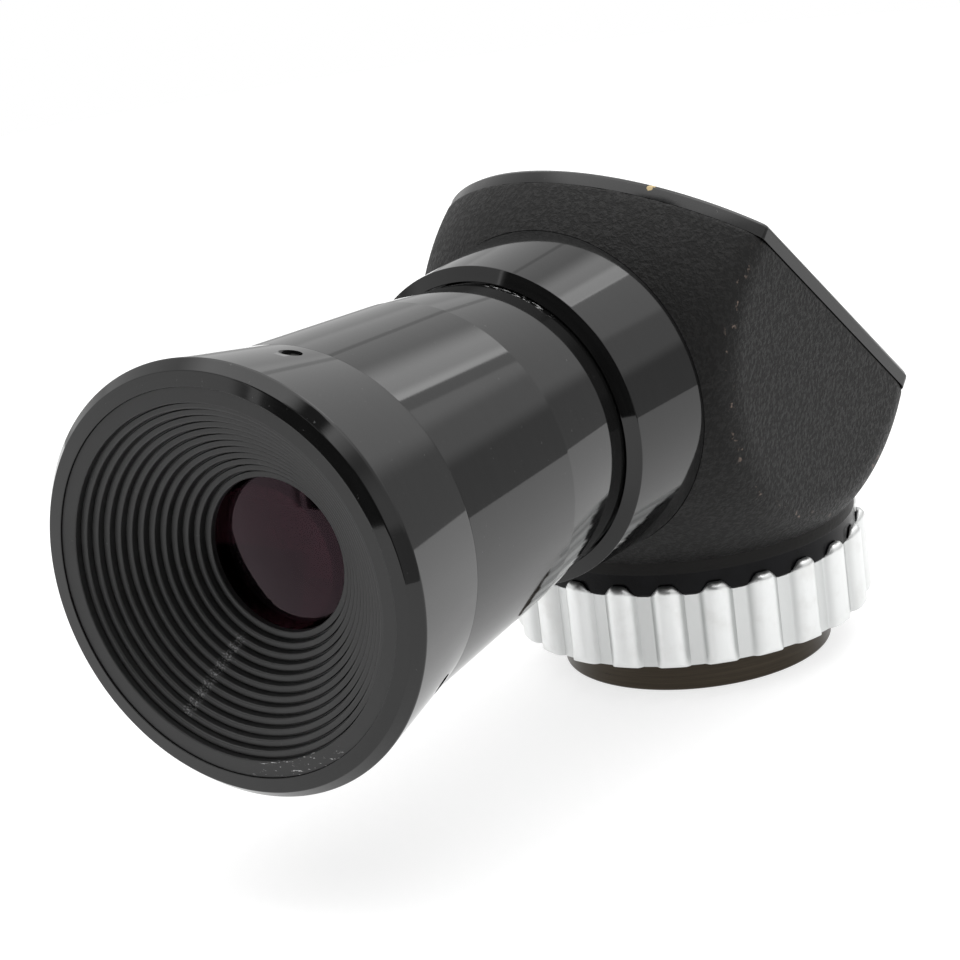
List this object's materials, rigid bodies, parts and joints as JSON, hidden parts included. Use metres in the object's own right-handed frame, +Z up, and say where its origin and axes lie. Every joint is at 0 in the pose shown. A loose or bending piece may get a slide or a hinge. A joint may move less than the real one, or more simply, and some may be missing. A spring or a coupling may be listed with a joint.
{
  "type": "right-angle finder scope",
  "caption": "Right-angle viewing finder: ball-shaped prism housing, focusing eyepiece with a ridged funnel, and a scalloped coupling ring with a round sleeve.",
  "frame": {"origin": "centre of the coupling sleeve's lower end", "axes": "+Z up along the coupling axis, away from the host; the eyepiece looks along -Y; X is across, and the part is symmetrical about the YZ plane"},
  "size_m": [0.0344, 0.0772, 0.0442],
  "materials": {
    "wrinkle_paint": "wrinkle-finish black enamel on a turned and milled alloy ball",
    "cover_lacquer": "smooth black lacquer over brass",
    "black_screw": "blackened steel",
    "prism_glass": "clear optical glass",
    "cork": "cork pad",
    "spring_bronze": "phosphor-bronze leaf",
    "steel_screw": "plain steel",
    "collar_anodised": "black anodised alloy, turned",
    "neck_lacquer": "gloss black lacquer",
    "objective_glass": "coated optical glass",
    "blackened_brass": "blackened brass",
    "plain_brass": "turned brass",
    "satin_chrome": "satin chrome plate on brass",
    "gunmetal": "dark chemically browned metal",
    "eye_glass": "glass with a dark purple anti-reflection coating",
    "barrel_anodised": "semi-gloss black anodised alloy, turned",
    "matte_baffle": "matte black anti-glare paint"
  },
  "bodies": {
    "housing": {"prism_housing": "wrinkle_paint", "cover_plate": "cover_lacquer", "cover_screws": "black_screw", "right_angle_prism": "prism_glass", "prism_pad": "cork", "prism_clip": "spring_bronze", "clip_screws": "steel_screw", "front_collar": "collar_anodised", "swivel_neck": "neck_lacquer", "objective_crown": "objective_glass", "objective_flint": "objective_glass", "objective_retainer": "blackened_brass", "neck_nut": "plain_brass", "friction_washer": "spring_bronze"},
    "coupling": {"coupling_ring": "satin_chrome", "mount_sleeve": "gunmetal"},
    "carrier": {"lens_carrier": "blackened_brass", "guide_screw": "steel_screw", "eye_crown": "eye_glass", "eye_flint": "eye_glass", "lens_spacer": "blackened_brass", "field_lens": "eye_glass", "lens_retainer": "blackened_brass", "field_stop": "blackened_brass", "barrel_nut": "plain_brass"},
    "barrel": {"focus_barrel": "barrel_anodised", "eye_bell": "barrel_anodised", "bell_set_screws": "black_screw", "baffle_insert": "matte_baffle"}
  },
  "joints": [
    {"name": "coupling_turn", "type": "hinge", "parent": "housing", "child": "coupling", "pos_m": [0, 0, 0.0085], "axis": [0, 0, 1], "continuous": true},
    {"name": "focus_slide", "type": "slide", "parent": "housing", "child": "carrier", "axis": [0, -1, 0], "range_m": [0, 0.003]},
    {"name": "focus_turn", "type": "hinge", "parent": "carrier", "child": "barrel", "pos_m": [0, -0.04, 0.027], "axis": [0, -1, 0], "range_deg": [0, 270]}
  ],
  "couplings": [
    {"joint": "focus_turn", "follows": "focus_slide", "rad_per_m": 1570.8}
  ]
}
